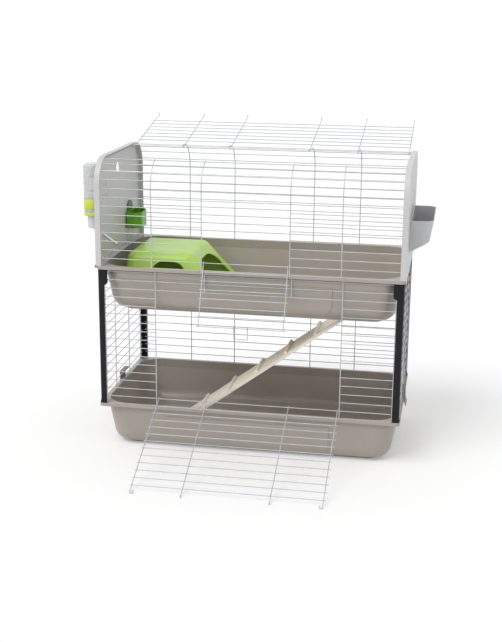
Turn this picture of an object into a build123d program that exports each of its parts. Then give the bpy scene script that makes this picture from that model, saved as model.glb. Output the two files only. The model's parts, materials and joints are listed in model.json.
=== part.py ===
from build123d import *
import math
import os

# Two-storey wire cage for small animals, in millimetres.
# X runs to the right, Y to the back and Z up; the origin is on the floor, under the centre of the trays.

# Overall sizes
length = 1000.0
depth = 530.0
tray_height = 155.0
storey_rise = 469.0
panel_height = 348.0

# Clearances
seat_gap = 0.3
hook_gap = 0.35
slot_play = 1.0
hook_end_share = 0.8
curve_trim = 0.001

# Trays
tray_wall = 3.0
rim_radius = 14.0
rim_skirt = 11.0
wall_inset = 12.0
straight_band = 30.0
wall_taper = 11.5
wall_corner = 80.0
floor_radius = 48.0
foot_height = 4.0
foot_width = 8.0
foot_inset = 68.0
foot_pad = 30.0
relief_depth = 2.5
relief_half = 270.0
relief_drop = 42.0
relief_round_share = 0.6
hatch_length = 142.0
hatch_width = 150.0
hatch_radius = 4.0

# Wires
light = 2.4
heavy = 3.0
pitch = 28.5
inner_bar = 141.0
outer_bar = 304.0
side_bar = 82.0
wire_end_inset = 18.0

# Lower storey
lower_wire_inset = 6.5
lower_first_row = 25.0
opening_rows = 13

# Posts
post_inset = 3.3
post_width = 22.0
post_wall = 3.0
post_foot = 12.0
foot_flare = 2.6
gusset_width = 12.0
gusset_height = 60.0
gusset_wall = 1.6

# Lower door
door_outer_bar = 297.5
door_inner_bar = 137.0
door_length = 412.0
door_first_row = 30.0
door_pitch = 31.45
door_rows = 12
tip_reach = 4.0
loop_radius = 5.0

# Upper storey
upper_wire_inset = 2.0
upper_first_row = 26.0
upper_shift = -8.0
upper_inner_bar = 142.0
upper_outer_bar = 306.0
upper_rear_bar = 143.0
upper_rear_outer = 307.0
upper_opening_rows = 7

# Upper door
hatch_door_bar = 136.5
hatch_door_length = 205.0
catch_width = 44.0
catch_drop = 36.0

# Roof lid
lid_bar_inner = 137.5
lid_bar_outer = 302.5
lid_bar_edge = 474.0
lid_overhang = 4.0
lid_first_row = 57.0
lid_pitch = 35.6
lid_rows = 7
lid_tip_drop = 8.0

# End panels
panel_depth = 18.0
panel_wall = 3.0
panel_radius = 90.0
vent_width = 5.0
vent_height = 50.0
vent_pitch = 24.0
vent_count = 7
round_vent = 18.0
round_vent_level = 0.82
tall_vent_level = 0.73
tall_vent_start = 100.0
fan_count = 4
fan_upper_level = 0.72
fan_upper_start = -210.0
fan_upper_share = 0.6
fan_lower_level = 0.60
fan_lower_start = -198.0
fan_lower_share = 0.4

# Food bowl
bowl_y = 128.0
bowl_width = 100.0
bowl_reach = 51.0
bowl_bottom = 59.0
bowl_height = 55.0
bowl_wall = 2.5
bowl_round_share = 0.55
bracket_width = 70.0
bracket_rise = 36.0
bracket_wall = 4.0
ledge_reach = 24.0
ledge_share = 0.7
arch_flat = 1.0

# Water bottle
bottle_y = -175.0
bottle_radius = 28.0
bottle_height = 172.0
bottle_gap = 5.0
bottle_base = 148.0
bottle_wall = 2.0
bottle_round = 12.0
shoulder_height = 8.0
neck_radius = 15.0
neck_height = 20.0
cap_radius = 18.0
cap_height = 40.0
cap_overlap = 2.0
cap_round = 5.0
cap_room = 10.0
thread_play = 0.01
spout_play = 0.05
spout_clear = 1.0
spout_radius = 4.5
spout_bore = 3.0
spout_angle = 33.0
spout_length = 96.0
ball_radius = 2.7
ball_mouth_share = 0.8
ball_seat_share = 0.6
cradle_height = 40.0
cradle_rise = 90.0
cradle_wall = 3.0
cradle_share = 0.6

# Hay rack
rack_half = 145.0
rack_reach = 74.0
rack_rim = 168.0
rack_bottom = 67.0
rack_floor_rise = 14.0
rack_toe_rise = 33.0
rack_toe_inset = 12.0
rack_wall = 2.5
rack_round = 28.0
rack_belly_share = 0.36
lug_y = 90.0
lug_width = 20.0
lug_wall = 3.0
lug_drop = 12.0

# Shelter
shelter_left = -446.0
shelter_right = -64.0
shelter_top_right = -222.0
shelter_half = 165.0
shelter_lean = 62.0
shelter_height = 165.0
shelter_wall = 3.0
shelter_round = 34.0
doorway_x = -295.0
doorway_width = 118.0
doorway_height = 138.0
doorway_round_share = 0.36
side_doorway_y = -10.0
side_doorway_stretch = 1.9
base_wall_share = 1.4
top_wall_share = 1.2
house_clear = 1.0

# Ladder
ladder_y = -100.0
ladder_width = 140.0
ladder_thick = 10.0
ladder_slope = 36.4
ladder_length = 808.0
ladder_foot_x = -320.0
board_round = 4.0
cleat_pitch = 120.0
cleat_thick = 9.0
cleat_depth = 10.0
cleat_chamfer = 2.0

# Rim clips and corner button
clip_width = 60.0
clip_wall = 3.0
clip_y = 20.0
clip_tail = 14.0
clip_tail_flare = 5.0
clip_bar = 2.6
clip_bar_room = 1.0
button_radius = 5.0
button_height = 9.0
button_chamfer = 1.5

# Levels and places that follow from the sizes above
half_x = length / 2
half_y = depth / 2
lower_rim = tray_height
upper_rim = storey_rise + tray_height
upper_lip_under = upper_rim - tray_wall
panel_top = upper_rim + panel_height
tray_floor = foot_height + tray_wall
upper_floor = storey_rise + tray_floor
wire_step = (heavy + light) / 2
hook_radius = light / 2 + hook_gap + heavy / 2
door_face = hook_radius + wire_step
lower_heavy_y = half_y - lower_wire_inset
lower_light_y = lower_heavy_y - wire_step
lower_heavy_x = half_x - lower_wire_inset
lower_light_x = lower_heavy_x - wire_step
leg_end = post_inset + post_width
edge_bar_x = half_x - leg_end - hook_gap - heavy / 2
edge_bar_y = half_y - leg_end - hook_gap - heavy / 2
lower_row_z = lower_rim + lower_first_row
lower_rows = int((upper_lip_under - light - lower_row_z) / pitch) + 1
opening_top = lower_row_z + opening_rows * pitch
roof_centre_y = half_y - panel_radius
roof_centre_z = panel_top - panel_radius
heavy_roof = panel_radius - upper_wire_inset
light_roof = heavy_roof - wire_step
upper_heavy_y = half_y - upper_wire_inset
upper_light_y = upper_heavy_y - wire_step
upper_row_z = upper_rim + upper_first_row
upper_end = half_x - panel_depth
arc_length = light_roof * math.pi / 2


def section(size):
    """Wire section with `size` across its flats: eight sides on heavy wires, six on light ones."""
    sides = 8 if size >= heavy else 6
    return RegularPolygon(size / 2, sides, major_radius=False, rotation=180 / sides)


def wire(start, end, size, across=None):
    """Straight wire; a pair of its flats faces along `across`."""
    begin = Vector(*start)
    run = Vector(*end) - begin
    if across is None:
        across = (0, 1, 0) if abs(run.X) > abs(run.Z) + abs(run.Y) else (1, 0, 0)
    return extrude(Plane(origin=begin, x_dir=across, z_dir=run) * section(size), run.length)


def bent_wire(path, size):
    """Wire along a path that starts in a plane square to X."""
    start = Plane(origin=path @ 0, x_dir=(1, 0, 0), z_dir=path % 0)
    return sweep(start * section(size), path=path, transition=Transition.RIGHT)


def group(name, pieces):
    """One node that holds several separate solids."""
    solids = [solid for piece in pieces for solid in piece.solids()]
    node = Compound(children=solids)
    node.label = name
    return node


def tub(inset, base, round_radius, corner):
    """Solid tub form: straight band at the top, tapered wall, rounded floor edge."""
    drop = tray_height - straight_band - base
    outline = RectangleRounded(length - 2 * inset, depth - 2 * inset, corner)
    body = Rot(180, 0, 0) * extrude(outline, drop, taper=wall_taper)
    body = fillet(body.faces().sort_by(Axis.Z)[0].edges(), round_radius)
    body = Pos(0, 0, tray_height - straight_band) * body
    band = Pos(0, 0, tray_height - straight_band) * extrude(outline, straight_band)
    return body + band


def relief_field():
    """Region of the front and back walls that stands a little proud, with rounded lower corners."""
    height = tray_height - relief_drop
    outline = Pos(0, height / 2) * Rectangle(2 * relief_half, height)
    outline = fillet(outline.vertices().group_by(Axis.Y)[0], height * relief_round_share)
    slab = extrude(outline, half_y, both=True)
    return Pos(0, 0, foot_height) * (Rot(90, 0, 0) * slab)


def tray():
    """Moulded tray with a turned-down lip and a foot ring, standing on Z = 0."""
    outer = tub(wall_inset, foot_height, floor_radius, wall_corner)
    proud = tub(wall_inset - relief_depth, foot_height, floor_radius, wall_corner) & relief_field()
    hollow = tub(wall_inset + tray_wall, tray_floor, floor_radius - tray_wall, wall_corner - tray_wall)
    lip = RectangleRounded(length, depth, rim_radius)
    lip -= RectangleRounded(length - 2 * wall_inset, depth - 2 * wall_inset, wall_corner)
    skirt = RectangleRounded(length, depth, rim_radius)
    skirt -= RectangleRounded(length - 2 * tray_wall, depth - 2 * tray_wall, rim_radius - tray_wall)
    foot_x = length - 2 * foot_inset
    foot_y = depth - 2 * foot_inset
    foot = RectangleRounded(foot_x, foot_y, wall_corner / 2)
    foot -= RectangleRounded(foot_x - 2 * foot_width, foot_y - 2 * foot_width, wall_corner / 2 - foot_width)
    shape = outer + proud - hollow
    shape += Pos(0, 0, tray_height - tray_wall) * extrude(lip, tray_wall)
    shape += Pos(0, 0, tray_height - rim_skirt) * extrude(skirt, rim_skirt)
    shape += extrude(foot + Circle(foot_pad), foot_height + tray_wall / 2)
    return shape


def post():
    """Front left corner post: angle section with a flared foot and two rounded gussets."""
    top = upper_lip_under - lower_rim
    corner = rim_radius - post_inset
    outline = Rectangle(post_width, post_width, align=(Align.MIN, Align.MIN))
    room = post_width - post_wall
    inner = Pos(post_wall, post_wall) * Rectangle(room, room, align=(Align.MIN, Align.MIN))
    angle = outline - inner
    near = angle.vertices().sort_by_distance((0, 0, 0))
    angle = fillet(near[0], corner)
    near = angle.vertices().sort_by_distance((post_wall, post_wall, 0))
    angle = fillet(near[0], corner - post_wall)
    leg = extrude(angle, top)
    low = Rectangle(post_width + foot_flare, post_width + foot_flare, align=(Align.MIN, Align.MIN))
    low = Pos(-foot_flare, -foot_flare) * fillet(low.vertices().sort_by_distance((0, 0, 0))[0], corner)
    high = fillet(outline.vertices().sort_by_distance((0, 0, 0))[0], corner)
    foot = loft([low.face(), Pos(0, 0, post_foot) * high.face()], ruled=True)
    foot -= Pos(post_wall, post_wall, 0) * extrude(outline, post_foot)
    gusset = Rectangle(gusset_width + post_wall, gusset_height, align=(Align.MIN, Align.MAX))
    gusset = fillet(gusset.vertices().group_by(Axis.Y)[0].sort_by(Axis.X)[-1], gusset_width)
    plate = Pos(post_width - post_wall, gusset_wall, top) * (Rot(90, 0, 0) * extrude(gusset, gusset_wall))
    twin = mirror(plate, Plane(origin=(0, 0, 0), z_dir=(1, -1, 0)))
    shape = leg + foot + plate + twin
    return Pos(-half_x + post_inset, -half_y + post_inset, lower_rim) * shape


def lower_rear_or_front(y_sign, openings):
    """Wires of a long side of the lower storey; the front leaves room for the door."""
    light_y = y_sign * lower_light_y
    heavy_y = y_sign * lower_heavy_y
    end = half_x - wire_end_inset
    stop = outer_bar + heavy / 2
    pieces = []
    for row in range(lower_rows):
        z = lower_row_z + row * pitch
        if openings and 0 < row < opening_rows:
            pieces.append(wire((-end, light_y, z), (-stop + heavy, light_y, z), light))
            pieces.append(wire((stop - heavy, light_y, z), (end, light_y, z), light))
        else:
            pieces.append(wire((-end, light_y, z), (end, light_y, z), light))
    for x in (-edge_bar_x, -outer_bar, outer_bar, edge_bar_x):
        pieces.append(wire((x, heavy_y, lower_rim), (x, heavy_y, upper_lip_under), heavy))
    for x in (-inner_bar, inner_bar):
        bottom = opening_top - light / 2 if openings else lower_rim
        pieces.append(wire((x, heavy_y, bottom), (x, heavy_y, upper_lip_under), heavy))
    return pieces


def lower_side(x_sign):
    """Wires of a short side of the lower storey."""
    light_x = x_sign * lower_light_x
    heavy_x = x_sign * lower_heavy_x
    end = half_y - wire_end_inset
    pieces = []
    for row in range(lower_rows):
        z = lower_row_z + row * pitch
        pieces.append(wire((light_x, -end, z), (light_x, end, z), light))
    for y in (-edge_bar_y, -side_bar, side_bar, edge_bar_y):
        pieces.append(wire((heavy_x, y, lower_rim), (heavy_x, y, upper_lip_under), heavy))
    return pieces


def hinge_hook(side):
    """Points (Y, Z) of the hook round a hinge wire at the origin, ending where the long wire starts."""
    corner = hook_radius * math.tan(math.radians(22.5))
    points = [
        (-hook_radius, hook_end_share * hook_radius),
        (-hook_radius, -corner),
        (-corner, -hook_radius),
        (corner, -hook_radius),
        (hook_radius, -corner),
    ]
    return [(side * y, z) for y, z in points]


def flap_wire(x, side, reach, tip):
    """Long wire of a flap in its own frame: hinge axis on X, flap along +Z, wire at Y = side * hook radius."""
    points = hinge_hook(side) + [(side * hook_radius, reach)] + tip
    return bent_wire(Polyline(*[(x, y, z) for y, z in points]), heavy)


def end_loop(x, inward):
    """Finger loop at the tip of an outer door wire, in the plane of the door."""
    y = -hook_radius
    turn = loop_radius * math.tan(math.radians(22.5))
    base = door_length - heavy / 2 - loop_radius
    points = [
        (0, base + turn),
        (loop_radius - turn, base + loop_radius),
        (loop_radius + turn, base + loop_radius),
        (2 * loop_radius, base + turn),
        (2 * loop_radius, base - turn),
        (loop_radius + turn, base - loop_radius),
    ]
    path = [(x + inward * across, y, z) for across, z in points]
    hook = [(x, side_y, z) for side_y, z in hinge_hook(-1)]
    route = Polyline(*(hook + path))
    return bent_wire(route, heavy)


def lower_door():
    """Big ramp door, in its own frame, closed along +Z."""
    pieces = []
    for side in (-1, 1):
        pieces.append(end_loop(side * door_outer_bar, -side))
        tip = [(-hook_radius + heavy / 2 + tip_reach, door_length - heavy / 2)]
        pieces.append(flap_wire(side * door_inner_bar, -1, door_length - heavy / 2, tip))
    half = outer_bar + heavy / 2
    for row in range(door_rows):
        z = door_first_row + row * door_pitch
        pieces.append(wire((-half, -door_face, z), (half, -door_face, z), light))
    return pieces


def upper_door():
    """Small front door, in its own frame, closed along +Z."""
    pieces = []
    for side in (-1, 1):
        pieces.append(flap_wire(side * hatch_door_bar, -1, hatch_door_length, []))
    half = upper_inner_bar + heavy / 2
    for row in range(1, upper_opening_rows):
        z = row * pitch
        pieces.append(wire((-half, -door_face, z), (half, -door_face, z), light))
    edge = hatch_door_length - light / 2
    pieces.append(wire((-half, -door_face, edge), (half, -door_face, edge), light))
    return pieces


def door_catch():
    """U-shaped wire catch in its own frame: it swings on the door's free edge wire, which lies on X."""
    half = catch_width / 2
    bow = wire((-half, -hook_radius, catch_drop), (half, -hook_radius, catch_drop), heavy)
    for side in (-1, 1):
        bow += flap_wire(side * half, -1, catch_drop + heavy / 2, [])
    return bow


def place_y_on_roof(distance, radius):
    """Point (Y, Z, angle) at a distance from the start of the roof's curve, round it and inwards."""
    if distance < 0:
        return roof_centre_y + radius, roof_centre_z + distance, 0.0
    turn = distance / light_roof
    if turn < math.pi / 2:
        y = roof_centre_y + radius * math.cos(turn)
        z = roof_centre_z + radius * math.sin(turn)
        return y, z, math.degrees(turn)
    return roof_centre_y - (distance - arc_length), roof_centre_z + radius, 90.0


def row_distance(row):
    """Distance of a row of the upper grids from the start of the roof's curve."""
    return upper_row_z + row * pitch - roof_centre_z


top_row = int((roof_centre_z + arc_length - upper_row_z) / pitch)
hinge_row = top_row + 2
front_top = place_y_on_roof(row_distance(top_row), light_roof)
lid_hinge = place_y_on_roof(row_distance(hinge_row), light_roof)
lid_length = lid_hinge[0] + front_top[0] + light / 2 + hook_gap + heavy
lid_open = math.degrees(math.asin((hook_radius + wire_step + seat_gap) / pitch))
door_hinge_z = lower_row_z
door_drop = math.hypot(door_length, hook_radius + heavy / 2)
door_lean = math.degrees(math.asin((door_hinge_z - seat_gap) / door_drop)
                         - math.atan2(hook_radius + heavy / 2, door_length))
hatch_hinge_y = -upper_light_y
hatch_swing = math.hypot(pitch, door_face)
hatch_lean = math.degrees(math.asin((half_y + light / 2 + seat_gap + hatch_hinge_y) / hatch_swing)
                          + math.atan2(door_face, pitch))


def roof_lid():
    """Roof flap, in its own frame, closed along +Z; its row wires lie on the side towards the cage."""
    pieces = []
    tip = [(hook_radius - lid_tip_drop, lid_length - heavy / 2)]
    for x in (lid_bar_inner, lid_bar_outer, lid_bar_edge):
        for side in (-1, 1):
            pieces.append(flap_wire(side * x, 1, lid_length - heavy / 2, tip))
    half = lid_bar_edge + lid_overhang
    y = hook_radius - wire_step
    for row in range(lid_rows):
        z = lid_first_row + row * lid_pitch
        pieces.append(wire((-half, y, z), (half, y, z), light))
    return pieces


def roof_row(row, y_sign, start, end):
    """Row wire of an upper grid, turned so that a flat meets the bent upright wires."""
    y, z, turn = place_y_on_roof(row_distance(row), light_roof)
    turn = math.radians(turn)
    across = (0, y_sign * math.cos(turn), math.sin(turn))
    return wire((start, y_sign * y, z), (end, y_sign * y, z), light, across)


def upright(x, y_sign, distance):
    """Upright wire of an upper grid, from the rim round the roof's curve to a distance past its start."""
    straight = Line((x, y_sign * upper_heavy_y, upper_rim), (x, y_sign * upper_heavy_y, roof_centre_z))
    middle_y, middle_z, _ = place_y_on_roof(min(distance, arc_length) / 2, heavy_roof)
    end_y, end_z, _ = place_y_on_roof(min(distance, arc_length - curve_trim), heavy_roof)
    curve = ThreePointArc(
        (x, y_sign * upper_heavy_y, roof_centre_z), (x, y_sign * middle_y, middle_z), (x, y_sign * end_y, end_z)
    )
    route = straight + curve
    if distance > arc_length:
        flat_y = place_y_on_roof(distance, heavy_roof)[0]
        route += Line(curve @ 1, (x, y_sign * flat_y, end_z))
    return bent_wire(route, heavy)


def upper_front():
    """Front grid of the upper storey with the small door's opening between the inner uprights."""
    inner_left = upper_shift - upper_inner_bar
    inner_right = upper_shift + upper_inner_bar
    pieces = []
    for row in range(top_row + 1):
        if 0 < row < upper_opening_rows:
            pieces.append(roof_row(row, -1, -upper_end, inner_left + heavy / 2))
            pieces.append(roof_row(row, -1, inner_right - heavy / 2, upper_end))
        else:
            pieces.append(roof_row(row, -1, -upper_end, upper_end))
    reach = row_distance(top_row)
    for x in (upper_shift - upper_outer_bar, inner_left, inner_right, upper_shift + upper_outer_bar):
        pieces.append(upright(x, -1, reach))
    return pieces


def upper_rear():
    """Rear grid of the upper storey, which runs round into the roof and carries the lid's hinge wire."""
    pieces = [roof_row(row, 1, -upper_end, upper_end) for row in range(hinge_row + 1)]
    reach = row_distance(hinge_row)
    for x in (-upper_rear_outer, -upper_rear_bar, upper_rear_bar, upper_rear_outer):
        pieces.append(upright(x, 1, reach))
    return pieces


def panel_outline(inset):
    """Outline of an end panel in (Y, Z) from the rim up, with rounded top corners."""
    height = panel_height - 2 * inset
    outline = Pos(0, panel_height / 2) * Rectangle(depth - 2 * inset, height)
    return fillet(outline.vertices().group_by(Axis.Y)[-1], panel_radius - inset)


def end_panel():
    """Right end panel: a dish that opens towards the cage, with a raised ring on its floor."""
    plane = Plane(origin=(half_x, 0, upper_rim), x_dir=(0, 1, 0), z_dir=(1, 0, 0))
    dish = extrude(plane * panel_outline(0), -panel_depth)
    inner_plane = plane.offset(-panel_wall)
    hollow = extrude(inner_plane * panel_outline(panel_wall), -panel_depth)
    ridge_face = panel_outline(4 * panel_wall) - panel_outline(5 * panel_wall)
    ridge = extrude(plane * ridge_face, -2 * panel_wall)
    return dish - hollow + ridge


def vents():
    """Cutter for the left panel: a row of tall slots, a short fan of slots and one round vent."""
    def slot(y, z, height):
        return Pos(y, z) * Rectangle(vent_width, height)

    outline = Pos(0, panel_height * round_vent_level) * Circle(round_vent)
    for number in range(vent_count):
        outline += slot(tall_vent_start + number * vent_pitch, panel_height * tall_vent_level, vent_height)
    for number in range(fan_count):
        across = number * vent_pitch
        outline += slot(fan_upper_start + across, panel_height * fan_upper_level, vent_height * fan_upper_share)
        outline += slot(fan_lower_start + across, panel_height * fan_lower_level, vent_height * fan_lower_share)
    plane = Plane(origin=(-half_x - slot_play, 0, upper_rim), x_dir=(0, 1, 0), z_dir=(1, 0, 0))
    return extrude(plane * outline, panel_wall + 2 * slot_play)


def food_bowl():
    """Bowl with a flat back, rounded front and rolled edge."""
    back = -half_x + panel_wall + bracket_wall + seat_gap
    bottom = upper_rim + bowl_bottom

    def outline(inset):
        plan = Pos(back + inset, bowl_y) * Rectangle(
            bowl_reach - 2 * inset, bowl_width - 2 * inset, align=(Align.MIN, Align.CENTER))
        return fillet(plan.vertices().group_by(Axis.X)[-1], bowl_reach * bowl_round_share - inset)

    body = Pos(0, 0, bottom) * extrude(outline(0), bowl_height)
    body -= Pos(0, 0, bottom + bowl_wall) * extrude(outline(bowl_wall), bowl_height)
    return body


def bowl_bracket():
    """Arched plate on the left panel with a ledge that carries the bowl."""
    height = bowl_height + bracket_rise
    plate = Pos(0, height / 2) * Rectangle(bracket_width, height)
    plate = fillet(plate.vertices().group_by(Axis.Y)[-1], bracket_width / 2 - arch_flat)
    face = -half_x + panel_wall
    bottom = upper_rim + bowl_bottom - seat_gap
    plane = Plane(origin=(face, bowl_y, bottom), x_dir=(0, 1, 0), z_dir=(1, 0, 0))
    arch = extrude(plane * plate, bracket_wall)
    ledge = Pos(face, bowl_y, bottom - bracket_wall) * Box(
        ledge_reach, bracket_width * ledge_share, bracket_wall, align=(Align.MIN, Align.CENTER, Align.MIN))
    return arch + ledge


bottle_x = -half_x - bottle_gap - bottle_radius
bottle_bottom = upper_rim + bottle_base
cap_bottom = bottle_bottom - cap_height
spout_plane = Plane(
    origin=(bottle_x, bottle_y, cap_bottom), x_dir=(0, 1, 0),
    z_dir=(math.cos(math.radians(spout_angle)), 0, -math.sin(math.radians(spout_angle))))


def bottle_body():
    """Hollow bottle that hangs neck down."""
    top = neck_height + bottle_height
    shoulder = neck_height + shoulder_height
    profile = Polyline((0, 0), (neck_radius, 0), (neck_radius, neck_height), (bottle_radius, shoulder),
                       (bottle_radius, top), (0, top), close=True)
    face = make_face(profile)
    tops = face.vertices().group_by(Axis.Y)[-1].sort_by(Axis.X)[-1]
    face = fillet(tops, bottle_round)
    shape = revolve(Plane.XZ * face, Axis.Z)
    room = bottle_radius - bottle_wall
    cavity = make_face(Polyline((0, bottle_wall), (neck_radius - bottle_wall, bottle_wall),
                                (neck_radius - bottle_wall, neck_height + bottle_wall),
                                (room, shoulder + bottle_wall),
                                (room, top - bottle_round),
                                (room - bottle_round, top - bottle_wall),
                                (0, top - bottle_wall), close=True))
    shape -= revolve(Plane.XZ * cavity, Axis.Z)
    return Pos(bottle_x, bottle_y, bottle_bottom - neck_height) * shape


def bottle_cap():
    """Screw cap round the neck, with a socket for the spout."""
    align = (Align.CENTER, Align.CENTER, Align.MIN)
    cap = Cylinder(cap_radius, cap_height + cap_overlap, align=align)
    cap = fillet(cap.edges().sort_by(Axis.Z)[0], cap_round)
    bore = Pos(0, 0, cap_height - neck_height - hook_gap) * Cylinder(
        neck_radius + hook_gap / 4, neck_height * 2, align=align)
    cone = Pos(0, 0, cap_height - thread_play) * Cylinder(bottle_radius, cap_room, align=align)
    shape = Pos(bottle_x, bottle_y, cap_bottom) * (cap - bore - cone)
    socket = extrude(spout_plane * Circle(spout_radius + spout_play), spout_length, both=True)
    return shape - socket


def bottle_spout():
    """Steel drinking tube with a drawn-in tip."""
    tube = extrude(Circle(spout_radius), spout_length)
    tube = chamfer(tube.edges().sort_by(Axis.Z)[-1], spout_radius - spout_bore)
    bore = extrude(Circle(spout_bore), spout_length - spout_radius)
    mouth = extrude(Circle(ball_radius * ball_mouth_share), spout_length)
    return spout_plane.location * (tube - bore - mouth)


def bottle_ball():
    """Valve ball that rests in the tip of the spout."""
    rest = spout_length - spout_radius - ball_radius * ball_seat_share - seat_gap
    return spout_plane.location * (Pos(0, 0, rest) * Sphere(ball_radius))


def bottle_bracket():
    """Half-round cradle on the outside of the left panel; the bottle leaves it outwards."""
    z = bottle_bottom + cradle_rise
    inner = bottle_radius + seat_gap
    align = (Align.CENTER, Align.CENTER, Align.MIN)
    ring = Cylinder(inner + cradle_wall, cradle_height, align=align)
    block = Box(inner + bottle_gap - seat_gap, 2 * bottle_radius * cradle_share, cradle_height,
                align=(Align.MIN, Align.CENTER, Align.MIN))
    half = Box(4 * bottle_radius, 4 * bottle_radius, cradle_height, align=(Align.MIN, Align.CENTER, Align.MIN))
    shape = ((ring & half) + block) - Cylinder(inner, cradle_height, align=align)
    limit = Pos(-bottle_x - half_x, 0, 0) * half
    return Pos(bottle_x, bottle_y, z) * (shape - limit)


def rack_outline(inset):
    """Side outline of the hay rack in (X, Z), X outwards from the panel and Z from the upper rim."""
    return make_face(Polyline(
        (inset, rack_bottom + inset), (rack_reach * rack_belly_share, rack_bottom + rack_floor_rise + inset),
        (rack_reach - rack_toe_inset - inset, rack_bottom + rack_toe_rise + inset),
        (rack_reach - inset, rack_rim + inset), (inset, rack_rim + inset), close=True))


def hay_rack():
    """Moulded hay basket on the right panel, with two lugs that drop behind the panel's slots."""
    plane = Plane(origin=(half_x + seat_gap, 0, upper_rim), x_dir=(1, 0, 0), z_dir=(0, -1, 0))
    outer = extrude(plane * rack_outline(0), rack_half, both=True)
    near = rack_toe_inset / 3
    front_x = half_x + rack_reach - rack_toe_inset / 2
    front = outer.edges().filter_by(lambda e: abs(e.center().X - front_x) < near
                                    and abs(abs(e.center().Y) - rack_half) < rack_wall)
    outer = fillet(front, rack_round)
    inner = extrude(plane * rack_outline(rack_wall), rack_half - rack_wall, both=True)
    front = inner.edges().filter_by(lambda e: abs(e.center().X - front_x) < 2 * near
                                    and abs(abs(e.center().Y) - rack_half) < 2 * rack_wall
                                    and e.length > rack_toe_rise)
    inner = fillet(front, rack_round - rack_wall)
    shape = outer - inner
    back = half_x - panel_wall - seat_gap
    lug_z = upper_rim + rack_rim - 3 * lug_wall
    align = (Align.MIN, Align.CENTER, Align.MAX)
    for side in (-1, 1):
        place = Pos(back - lug_wall, side * lug_y, lug_z)
        arm = place * Box(panel_wall + lug_wall + 3 * seat_gap, lug_width, lug_wall, align=align)
        drop = place * Box(lug_wall, lug_width, lug_drop, align=align)
        shape = shape + arm + drop
    return shape


def rack_slots():
    """Cutter for the two slots of the right panel that carry the rack's lugs."""
    height = lug_drop + seat_gap * 2
    bottom = upper_rim + rack_rim - 4 * lug_wall - seat_gap
    slots = []
    for side in (-1, 1):
        slots.append(Pos(half_x - panel_wall / 2, side * lug_y, bottom) * Box(
            2 * panel_wall, lug_width + 2 * seat_gap, height, align=(Align.CENTER, Align.CENTER, Align.MIN)))
    return slots


def shelter():
    """Moulded house, open below, with a sloping end and two arched doorways."""
    def form(inset):
        base_right = shelter_right - inset * base_wall_share
        top_right = shelter_top_right - inset * top_wall_share
        top = shelter_height - inset
        low = make_face(Polyline(
            (shelter_left + inset, -shelter_half + inset), (base_right, -shelter_half + inset),
            (base_right, shelter_half - inset), (shelter_left + inset, shelter_half - inset), close=True))
        high = make_face(Polyline(
            (shelter_left + inset, -shelter_half + shelter_lean + inset),
            (top_right, -shelter_half + shelter_lean + inset),
            (top_right, shelter_half - inset), (shelter_left + inset, shelter_half - inset), close=True))
        solid = loft([low, Pos(0, 0, top) * high], ruled=True)
        edges = solid.edges().filter_by(lambda e: e.center().Z > shelter_wall)
        return fillet(edges, shelter_round - inset)

    shell = form(0) - form(shelter_wall)
    door = Pos(0, doorway_height / 2) * Rectangle(doorway_width, doorway_height)
    door = fillet(door.vertices().group_by(Axis.Y)[-1], doorway_width * doorway_round_share)
    front_plane = Plane(origin=(doorway_x, -shelter_half - slot_play, 0), x_dir=(1, 0, 0), z_dir=(0, -1, 0))
    front = extrude(front_plane * door, -shelter_half)
    side_plane = Plane(origin=(shelter_right + slot_play, side_doorway_y, 0), x_dir=(0, 1, 0), z_dir=(1, 0, 0))
    wide_door = scale(door, (side_doorway_stretch, 1, 1))
    side = extrude(side_plane * wide_door, shelter_top_right - shelter_right - slot_play)
    inset = wall_inset + tray_wall + house_clear
    room = tub(inset, tray_floor + seat_gap, floor_radius - tray_wall, wall_corner)
    room += Pos(0, 0, 2 * tray_height) * Box(length, depth, 2 * tray_height)
    house = Pos(0, 0, upper_floor + seat_gap) * (shell - front - side)
    return house & (Pos(0, 0, storey_rise) * room)


slope = math.radians(ladder_slope)


def ladder_plane():
    """Plane on the lower end of the ladder: X up the slope, Y across, Z out of the walking face."""
    foot = Vector(ladder_foot_x, ladder_y, tray_floor + seat_gap + ladder_thick * math.cos(slope))
    return Plane(origin=foot, x_dir=(math.cos(slope), 0, math.sin(slope)),
                 z_dir=(-math.sin(slope), 0, math.cos(slope)))


def ladder_board():
    """Wooden board that leans from the lower floor through the hatch of the upper tray."""
    board = Pos(ladder_length / 2, 0, -ladder_thick / 2) * Box(ladder_length, ladder_width, ladder_thick)
    return ladder_plane().location * fillet(board.edges().filter_by(Axis.Z), board_round)


def ladder_cleats():
    """Wooden cleats across the board."""
    cleats = []
    number = int((ladder_length - cleat_pitch / 2) / cleat_pitch)
    for count in range(number):
        x = cleat_pitch * (count + 0.5)
        bar = Pos(x, 0, cleat_thick / 2) * Box(cleat_depth, ladder_width, cleat_thick)
        bar = chamfer(bar.edges().filter_by(Axis.Y).group_by(Axis.Z)[-1], cleat_chamfer)
        cleats.append(ladder_plane().location * bar)
    return cleats


def hatch():
    """Cutter for the opening in the upper floor; its right edge carries the ladder."""
    line_z = tray_floor + storey_rise - ladder_plane().origin.Z
    under = ladder_plane().origin.X + (line_z + ladder_thick / math.cos(slope)) / math.tan(slope)
    right = under + seat_gap / math.sin(slope)
    outline = Pos(right, ladder_y) * Rectangle(hatch_length, hatch_width, align=(Align.MAX, Align.CENTER))
    outline = fillet(outline.vertices(), hatch_radius)
    return Pos(0, 0, storey_rise) * extrude(outline, tray_floor + 2 * slot_play)


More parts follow.
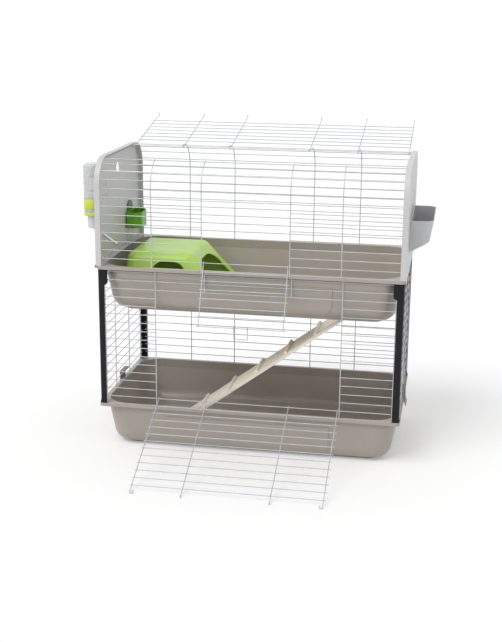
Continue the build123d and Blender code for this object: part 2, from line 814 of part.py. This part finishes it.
def rim_clip():
    """Right catch: hooks under the skirt of the lower rim and closes over the lowest side wire."""
    face = half_x + hook_gap
    under = lower_rim - rim_skirt - seat_gap
    over = lower_row_z + light / 2 + seat_gap
    bar_x = half_x - tray_wall - hook_gap - clip_bar - clip_bar_room
    bar_z = under - clip_wall + clip_bar
    plate = Pos(face, under - clip_wall) * Rectangle(
        clip_wall, over - under + 2 * clip_wall, align=(Align.MIN, Align.MIN))
    finger = Pos(face + clip_wall, over) * Rectangle(
        face + clip_wall - lower_light_x + 2 * light, clip_wall, align=(Align.MAX, Align.MIN))
    foot_z = under - clip_wall
    arm = Pos(bar_x, foot_z) * Rectangle(face + clip_wall - bar_x, clip_wall, align=(Align.MIN, Align.MIN))
    bar = Pos(bar_x, bar_z) * Circle(clip_bar)
    tail = make_face(Polyline(
        (face, foot_z + clip_wall), (face + clip_tail_flare, foot_z - clip_tail),
        (face + clip_tail_flare + clip_wall, foot_z - clip_tail),
        (face + clip_wall, foot_z + clip_wall), close=True))
    outline = plate + finger + arm + bar + tail
    plane = Plane(origin=(0, clip_y, 0), x_dir=(1, 0, 0), z_dir=(0, -1, 0))
    return extrude(plane * outline, clip_width / 2, both=True)


def corner_button():
    """Small round button on the left end of the upper rim, near its front corner."""
    y = -half_y + rim_radius + button_radius
    z = upper_rim - rim_skirt / 2
    disc = Pos(-half_x, y, z) * (Rot(0, -90, 0) * Cylinder(
        button_radius, button_height, align=(Align.CENTER, Align.CENTER, Align.MIN)))
    return chamfer(disc.edges().sort_by(Axis.X)[0], button_chamfer)


def placed(pieces, origin, turn):
    """Pieces of a flap, turned about the X axis through its hinge."""
    place = Pos(*origin) * Rot(turn, 0, 0)
    return [place * piece for piece in pieces]


lower_hinge = (0, -lower_light_y, lower_row_z)
upper_hinge = (upper_shift, -upper_light_y, upper_row_z)
lid_origin = (0, lid_hinge[0], lid_hinge[1])
door_turn = 90 + door_lean
hatch_turn = 180 - hatch_lean
catch_reach = hatch_door_length - light / 2
catch_hinge = (upper_shift,
               upper_hinge[1] + door_face * math.cos(math.radians(hatch_lean))
               - catch_reach * math.sin(math.radians(hatch_lean)),
               upper_hinge[2] - door_face * math.sin(math.radians(hatch_lean))
               - catch_reach * math.cos(math.radians(hatch_lean)))
lid_turn = lid_open - 90

one_tray = tray()
front_left = post()
right = end_panel()
left = mirror(right, Plane.YZ) - vents()
left -= extrude(spout_plane * Circle(spout_radius + spout_clear), spout_length)
right -= rack_slots()
clip = rim_clip()

nodes = {
    "lower_tray": one_tray,
    "upper_tray": Pos(0, 0, storey_rise) * one_tray - hatch(),
    "post_front_left": front_left,
    "post_front_right": mirror(front_left, Plane.YZ),
    "post_rear_left": mirror(front_left, Plane.XZ),
    "post_rear_right": mirror(mirror(front_left, Plane.XZ), Plane.YZ),
    "lower_front_grid": lower_rear_or_front(-1, True),
    "lower_rear_grid": lower_rear_or_front(1, False),
    "lower_left_grid": lower_side(-1),
    "lower_right_grid": lower_side(1),
    "lower_door": placed(lower_door(), lower_hinge, door_turn),
    "upper_front_grid": upper_front(),
    "upper_rear_grid": upper_rear(),
    "upper_door": placed(upper_door(), upper_hinge, hatch_turn),
    "upper_door_catch": placed([door_catch()], catch_hinge, 180),
    "roof_lid": placed(roof_lid(), lid_origin, lid_turn),
    "left_panel": left,
    "right_panel": right,
    "food_bowl": food_bowl(),
    "bowl_bracket": bowl_bracket(),
    "bottle_body": bottle_body(),
    "bottle_cap": bottle_cap(),
    "bottle_spout": bottle_spout() - bottle_cap(),
    "bottle_ball": bottle_ball(),
    "bottle_bracket": bottle_bracket(),
    "hay_rack": hay_rack(),
    "shelter": shelter(),
    "ladder_board": ladder_board(),
    "ladder_cleats": ladder_cleats(),
    "left_clip": mirror(clip, Plane.YZ),
    "right_clip": clip,
    "corner_button": corner_button(),
}

os.makedirs("parts", exist_ok=True)
for name, shape in nodes.items():
    pieces = shape if isinstance(shape, list) else [shape]
    export_step(group(name, pieces), f"parts/{name}.step")
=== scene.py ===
import json
import math
import bpy
from mathutils import Matrix, Vector


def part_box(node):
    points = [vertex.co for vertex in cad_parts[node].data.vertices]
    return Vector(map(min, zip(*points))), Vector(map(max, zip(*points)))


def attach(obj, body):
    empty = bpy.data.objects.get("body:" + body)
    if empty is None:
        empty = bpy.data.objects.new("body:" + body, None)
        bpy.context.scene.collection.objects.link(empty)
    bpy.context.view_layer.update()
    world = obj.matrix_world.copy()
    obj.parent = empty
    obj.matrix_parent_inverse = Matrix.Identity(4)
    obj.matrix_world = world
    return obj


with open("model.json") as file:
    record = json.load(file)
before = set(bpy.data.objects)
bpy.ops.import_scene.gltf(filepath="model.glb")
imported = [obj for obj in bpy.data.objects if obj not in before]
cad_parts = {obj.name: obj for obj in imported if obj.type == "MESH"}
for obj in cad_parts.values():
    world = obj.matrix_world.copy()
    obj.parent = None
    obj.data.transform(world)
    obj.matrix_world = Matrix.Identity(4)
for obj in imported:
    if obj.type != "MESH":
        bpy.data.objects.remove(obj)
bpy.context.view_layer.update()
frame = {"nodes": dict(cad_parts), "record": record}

# Camera of the photograph, in metres and radians; its focal length and centre are in pixels
CAMERA_PLACE = Vector((0.64733, -3.84677, 1.48766))
CAMERA_AZIMUTH = 0.1749
CAMERA_DOWN = 0.2718
CAMERA_ROLL = 0.0092
FOCAL_PIXELS = 1178.89
IMAGE_WIDTH = 502
IMAGE_HEIGHT = 642
CENTRE_X = 251.48
CENTRE_Y = 319.33
SENSOR = 36.0
CLIP_END = 200.0

# Floor and light
FLOOR_HALF = 40.0
FLOOR_COLOUR = (0.80, 0.80, 0.80, 1.0)
FLOOR_ROUGHNESS = 0.9
FLOOR_GLOW = 0.22
WORLD_LEVEL = 0.70
KEY_LEVEL = 1.25
KEY_SPREAD = math.radians(35)
KEY_DIRECTION = Vector((0.45, 0.62, -1.0))

# Surface detail shared by the materials
BEVEL_SAMPLES = 6
WORN_COSINE = 0.75
PALE_GAIN = 1.25
PALE_LIFT = 0.03
GLOSS_LOW = 0.85
GLOSS_HIGH = 1.2
SUBSURFACE_REACH = 0.004
LADDER_SLOPE = math.radians(36.4)
SPOUT_TURN = 0.6

# Bands on the bottle: name, lower and upper level
BANDS = (("bottle_band", 0.796, 0.829), ("bottle_collar", 0.7745, 0.7860))
BAND_GAP = 0.0002
BAND_THICK = 0.0008
BAND_SOFT_SHARE = 0.4
BAND_SEGMENTS = 48


def new_material(name):
    """Material with a principled shader; returns the material, its tree and the shader."""
    material = bpy.data.materials.new(name)
    material.use_nodes = True
    tree = material.node_tree
    return material, tree, tree.nodes["Principled BSDF"]


def object_coordinates(tree, stretch=(1.0, 1.0, 1.0), turn=(0.0, 0.0, 0.0)):
    """Object coordinates, turned and then stretched."""
    source = tree.nodes.new("ShaderNodeTexCoord")
    turned = tree.nodes.new("ShaderNodeMapping")
    turned.inputs["Rotation"].default_value = turn
    tree.links.new(source.outputs["Object"], turned.inputs["Vector"])
    stretched = tree.nodes.new("ShaderNodeMapping")
    stretched.inputs["Scale"].default_value = stretch
    tree.links.new(turned.outputs["Vector"], stretched.inputs["Vector"])
    return stretched.outputs["Vector"]


def noise(tree, vector, scale, detail=3.0, roughness=0.5):
    """Noise texture on a vector; returns its factor."""
    node = tree.nodes.new("ShaderNodeTexNoise")
    node.inputs["Scale"].default_value = scale
    node.inputs["Detail"].default_value = detail
    node.inputs["Roughness"].default_value = roughness
    tree.links.new(vector, node.inputs["Vector"])
    return node.outputs["Fac"]


def ramp(tree, factor, low, high, start=0.3, end=0.7):
    """Colour ramp between two colours."""
    node = tree.nodes.new("ShaderNodeValToRGB")
    first, last = node.color_ramp.elements
    first.position = start
    first.color = (*low, 1.0)
    last.position = end
    last.color = (*high, 1.0)
    tree.links.new(factor, node.inputs["Fac"])
    return node.outputs["Color"]


def remap(tree, factor, low, high):
    """Factor carried from 0..1 to low..high."""
    node = tree.nodes.new("ShaderNodeMapRange")
    node.inputs["To Min"].default_value = low
    node.inputs["To Max"].default_value = high
    tree.links.new(factor, node.inputs["Value"])
    return node.outputs["Result"]


def rounded_normal(tree, radius):
    """Normal over edges rounded by `radius`."""
    bevel = tree.nodes.new("ShaderNodeBevel")
    bevel.samples = BEVEL_SAMPLES
    bevel.inputs["Radius"].default_value = radius
    return bevel.outputs["Normal"]


def bump(tree, shader, height, strength, distance, radius):
    """Fine bump on the shader, over edges rounded by `radius`."""
    node = tree.nodes.new("ShaderNodeBump")
    node.inputs["Strength"].default_value = strength
    node.inputs["Distance"].default_value = distance
    tree.links.new(height, node.inputs["Height"])
    tree.links.new(rounded_normal(tree, radius), node.inputs["Normal"])
    tree.links.new(node.outputs["Normal"], shader.inputs["Normal"])


def edge_wear(tree, colour, pale, radius, strength):
    """Colour drawn towards a paler one along the edges, where a surface is rubbed."""
    geometry = tree.nodes.new("ShaderNodeNewGeometry")
    dot = tree.nodes.new("ShaderNodeVectorMath")
    dot.operation = "DOT_PRODUCT"
    tree.links.new(rounded_normal(tree, radius), dot.inputs[0])
    tree.links.new(geometry.outputs["Normal"], dot.inputs[1])
    amount = tree.nodes.new("ShaderNodeMapRange")
    amount.inputs["From Min"].default_value = 1.0
    amount.inputs["From Max"].default_value = WORN_COSINE
    amount.inputs["To Max"].default_value = strength
    tree.links.new(dot.outputs["Value"], amount.inputs["Value"])
    mix = tree.nodes.new("ShaderNodeMix")
    mix.data_type = "RGBA"
    tree.links.new(amount.outputs["Result"], mix.inputs["Factor"])
    tree.links.new(colour, mix.inputs["A"])
    mix.inputs["B"].default_value = (*pale, 1.0)
    return mix.outputs["Result"]


def dress(tree, shader, colour, roughness):
    """Colour and roughness on the shader."""
    tree.links.new(colour, shader.inputs["Base Color"])
    tree.links.new(roughness, shader.inputs["Roughness"])


def moulded(name, colour, rough, grain=900.0, spread=0.06, edge=0.0012, wear=0.25, sub=0.0):
    """Moulded plastic: faint mottling, fine grain, uneven gloss and slightly paler edges."""
    material, tree, shader = new_material(name)
    place = object_coordinates(tree)
    low = tuple(c * (1 - spread) for c in colour)
    high = tuple(min(1.0, c * (1 + spread)) for c in colour)
    pale = tuple(min(1.0, c * PALE_GAIN + PALE_LIFT) for c in colour)
    base = ramp(tree, noise(tree, place, scale=9.0, detail=5.0, roughness=0.6), low, high)
    base = edge_wear(tree, base, pale, edge, wear)
    gloss = noise(tree, place, scale=35.0, detail=4.0)
    gloss = remap(tree, gloss, low=rough * GLOSS_LOW, high=min(1.0, rough * GLOSS_HIGH))
    dress(tree, shader, base, gloss)
    bump(tree, shader, noise(tree, place, scale=grain, detail=2.0), strength=0.12, distance=0.0003, radius=edge)
    if sub > 0:
        shader.inputs["Subsurface Weight"].default_value = sub
        shader.inputs["Subsurface Scale"].default_value = SUBSURFACE_REACH
    return material


def coated_wire():
    """Grey coated steel wire with slight unevenness of the coat."""
    material, tree, shader = new_material("coated_wire")
    place = object_coordinates(tree)
    base = noise(tree, place, scale=30.0, detail=4.0)
    base = ramp(tree, base, low=(0.50, 0.51, 0.54), high=(0.64, 0.65, 0.69))
    gloss = remap(tree, noise(tree, place, scale=120.0), low=0.25, high=0.42)
    dress(tree, shader, base, gloss)
    shader.inputs["Metallic"].default_value = 0.35
    grain = noise(tree, place, scale=1500.0, detail=1.0)
    bump(tree, shader, grain, strength=0.10, distance=0.0002, radius=0.0008)
    return material


def powder_coat():
    """Black powder coat: fine orange-peel grain, paler at rubbed edges."""
    material, tree, shader = new_material("powder_coat")
    place = object_coordinates(tree)
    base = noise(tree, place, scale=14.0, detail=4.0)
    base = ramp(tree, base, low=(0.006, 0.006, 0.008), high=(0.012, 0.012, 0.015))
    base = edge_wear(tree, base, pale=(0.05, 0.05, 0.06), radius=0.0008, strength=0.4)
    gloss = remap(tree, noise(tree, place, scale=60.0), low=0.42, high=0.60)
    dress(tree, shader, base, gloss)
    shader.inputs["Specular IOR Level"].default_value = 0.22
    grain = noise(tree, place, scale=1100.0, detail=2.0)
    bump(tree, shader, grain, strength=0.25, distance=0.0003, radius=0.0006)
    return material


def plain_wood():
    """Pale planed wood with its grain along the ladder."""
    material, tree, shader = new_material("plain_wood")
    along = object_coordinates(tree, stretch=(1.2, 26.0, 26.0), turn=(0.0, LADDER_SLOPE, 0.0))
    rings = noise(tree, along, scale=3.0, detail=6.0, roughness=0.62)
    base = ramp(tree, rings, low=(0.72, 0.64, 0.50), high=(0.92, 0.87, 0.76), start=0.32, end=0.66)
    base = edge_wear(tree, base, pale=(0.95, 0.90, 0.80), radius=0.0015, strength=0.4)
    dress(tree, shader, base, remap(tree, rings, low=0.55, high=0.75))
    fibres = noise(tree, along, scale=9.0, detail=5.0, roughness=0.7)
    bump(tree, shader, fibres, strength=0.35, distance=0.0006, radius=0.0010)
    return material


def clear_bottle():
    """Translucent bottle plastic."""
    material, tree, shader = new_material("clear_bottle")
    place = object_coordinates(tree)
    base = ramp(tree, noise(tree, place, scale=20.0), low=(0.84, 0.87, 0.86), high=(0.93, 0.95, 0.94))
    gloss = remap(tree, noise(tree, place, scale=80.0), low=0.18, high=0.32)
    dress(tree, shader, base, gloss)
    shader.inputs["Transmission Weight"].default_value = 0.55
    shader.inputs["IOR"].default_value = 1.45
    return material


def drawn_steel():
    """Drawn steel tube with fine lengthwise lines."""
    material, tree, shader = new_material("drawn_steel")
    along = object_coordinates(tree, stretch=(6.0, 90.0, 90.0), turn=(0.0, SPOUT_TURN, 0.0))
    base = ramp(tree, noise(tree, along, scale=12.0), low=(0.58, 0.59, 0.60), high=(0.74, 0.75, 0.76))
    gloss = remap(tree, noise(tree, along, scale=30.0), low=0.18, high=0.34)
    dress(tree, shader, base, gloss)
    shader.inputs["Metallic"].default_value = 1.0
    return material


def dress_nodes():
    """Every CAD node gets the material of its slot."""
    finishes = {
        "tray": moulded("taupe_tray", (0.410, 0.370, 0.325), rough=0.24, grain=700.0, spread=0.04),
        "post": powder_coat(),
        "wire": coated_wire(),
        "panel": moulded("pale_panel", (0.62, 0.62, 0.615), rough=0.45, grain=800.0, spread=0.03, sub=0.1),
        "lime": moulded("lime_shell", (0.47, 0.74, 0.11), rough=0.30, spread=0.05, edge=0.002, wear=0.2),
        "green": moulded("green_bowl", (0.13, 0.40, 0.008), rough=0.30),
        # painted shade: the bracket's darker green stands for the shade that falls on its inner side
        "dark_green": moulded("shaded_green_bracket", (0.04, 0.15, 0.012), rough=0.45),
        "bottle": clear_bottle(),
        "cap": moulded("pale_cap", (0.66, 0.68, 0.68), rough=0.40),
        "steel": drawn_steel(),
        "rack": moulded("silver_rack", (0.58, 0.59, 0.61), rough=0.22, spread=0.05, sub=0.35),
        "clip": moulded("grey_clip", (0.20, 0.20, 0.21), rough=0.45),
        "wood": plain_wood(),
    }
    for part in frame["record"]["subparts"]:
        for place in frame["nodes"][part["node"]].material_slots:
            place.material = finishes[part["material_slot"]]


def link_mesh(name, points, faces, material):
    """New object in the scene, from points and faces, with one material."""
    mesh = bpy.data.meshes.new(name)
    mesh.from_pydata(points, [], faces)
    mesh.materials.append(material)
    made = bpy.data.objects.new(name, mesh)
    bpy.context.scene.collection.objects.link(made)
    return made


def ring_sleeve(name, centre, radius, low, high, material):
    """Thin sleeve round an upright axis, with softened rims."""
    outer = radius + BAND_THICK
    soft = BAND_THICK * BAND_SOFT_SHARE
    profile = [
        (radius, low + soft), (radius + soft, low), (outer - soft, low), (outer, low + soft),
        (outer, high - soft), (outer - soft, high), (radius + soft, high), (radius, high - soft),
    ]
    points = []
    faces = []
    count = len(profile)
    for step in range(BAND_SEGMENTS):
        angle = 2 * math.pi * step / BAND_SEGMENTS
        for reach, height in profile:
            points.append((centre[0] + reach * math.cos(angle), centre[1] + reach * math.sin(angle), height))
        here = step * count
        beyond = (step + 1) % BAND_SEGMENTS * count
        for item in range(count):
            after = (item + 1) % count
            faces.append((here + item, beyond + item, beyond + after, here + after))
    sleeve = link_mesh(name, points, faces, material)
    for polygon in sleeve.data.polygons:
        polygon.use_smooth = True
    return sleeve


def bottle_bands():
    """Yellow-green bands round the bottle."""
    low_corner, high_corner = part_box("bottle_body")
    centre = ((low_corner[0] + high_corner[0]) / 2, (low_corner[1] + high_corner[1]) / 2)
    radius = (high_corner[0] - low_corner[0]) / 2 + BAND_GAP
    finish = moulded("yellow_green_band", (0.62, 0.72, 0.08), rough=0.35)
    for name, low, high in BANDS:
        band = ring_sleeve(name, centre, radius, low, high, finish)
        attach(band, "bottle")


def seen_ray(tree):
    """One on rays from the camera, off gloss or through clear plastic, and nothing on the rest."""
    path = tree.nodes.new("ShaderNodeLightPath")
    seen = path.outputs["Is Camera Ray"]
    for kind in ("Is Glossy Ray", "Is Transmission Ray"):
        either = tree.nodes.new("ShaderNodeMath")
        either.operation = "MAXIMUM"
        tree.links.new(seen, either.inputs[0])
        tree.links.new(path.outputs[kind], either.inputs[1])
        seen = either.outputs["Value"]
    return seen


def pale_floor():
    """Wide pale floor that shows almost white and keeps the object's shadow."""
    material, tree, shader = new_material("floor_paper")
    shader.inputs["Base Color"].default_value = FLOOR_COLOUR
    shader.inputs["Roughness"].default_value = FLOOR_ROUGHNESS
    glow = tree.nodes.new("ShaderNodeEmission")
    tree.links.new(remap(tree, seen_ray(tree), low=0.0, high=FLOOR_GLOW), glow.inputs["Strength"])
    both = tree.nodes.new("ShaderNodeAddShader")
    tree.links.new(shader.outputs["BSDF"], both.inputs[0])
    tree.links.new(glow.outputs["Emission"], both.inputs[1])
    tree.links.new(both.outputs["Shader"], tree.nodes["Material Output"].inputs["Surface"])
    signs = ((-1, -1), (1, -1), (1, 1), (-1, 1))
    corners = [(across * FLOOR_HALF, along * FLOOR_HALF, 0) for across, along in signs]
    link_mesh("floor", corners, [(0, 1, 2, 3)], material)


def studio_light():
    """Even pale surroundings and one soft key light from the front left, above."""
    world = bpy.data.worlds.new("studio")
    bpy.context.scene.world = world
    world.use_nodes = True
    tree = world.node_tree
    background = tree.nodes["Background"]
    background.inputs["Color"].default_value = (1.0, 1.0, 1.0, 1.0)
    strength = remap(tree, seen_ray(tree), low=WORLD_LEVEL, high=1.0)
    tree.links.new(strength, background.inputs["Strength"])
    lamp = bpy.data.lights.new("key", "SUN")
    lamp.energy = KEY_LEVEL
    lamp.angle = KEY_SPREAD
    key = bpy.data.objects.new("key", lamp)
    key.rotation_euler = KEY_DIRECTION.to_track_quat("-Z", "Y").to_euler()
    bpy.context.scene.collection.objects.link(key)


def photo_camera():
    """Camera at the photograph's place, fitted to the corners of both rims."""
    forward = Vector((
        -math.sin(CAMERA_AZIMUTH) * math.cos(CAMERA_DOWN),
        math.cos(CAMERA_AZIMUTH) * math.cos(CAMERA_DOWN),
        -math.sin(CAMERA_DOWN),
    ))
    right = Vector((math.cos(CAMERA_AZIMUTH), math.sin(CAMERA_AZIMUTH), 0.0))
    up = right.cross(forward)
    across = math.cos(CAMERA_ROLL) * right + math.sin(CAMERA_ROLL) * up
    top = math.cos(CAMERA_ROLL) * up - math.sin(CAMERA_ROLL) * right
    data = bpy.data.cameras.new("photo_camera")
    data.lens = FOCAL_PIXELS / IMAGE_HEIGHT * SENSOR
    data.sensor_width = SENSOR
    data.shift_x = (IMAGE_WIDTH / 2 - CENTRE_X) / IMAGE_HEIGHT
    data.shift_y = (CENTRE_Y - IMAGE_HEIGHT / 2) / IMAGE_HEIGHT
    data.clip_end = CLIP_END
    camera = bpy.data.objects.new("photo_camera", data)
    turn = Matrix((across, top, -forward)).transposed()
    camera.matrix_world = Matrix.Translation(CAMERA_PLACE) @ turn.to_4x4()
    bpy.context.scene.collection.objects.link(camera)
    bpy.context.scene.camera = camera


dress_nodes()
bottle_bands()
pale_floor()
studio_light()
photo_camera()
bpy.context.scene.view_settings.view_transform = "Standard"
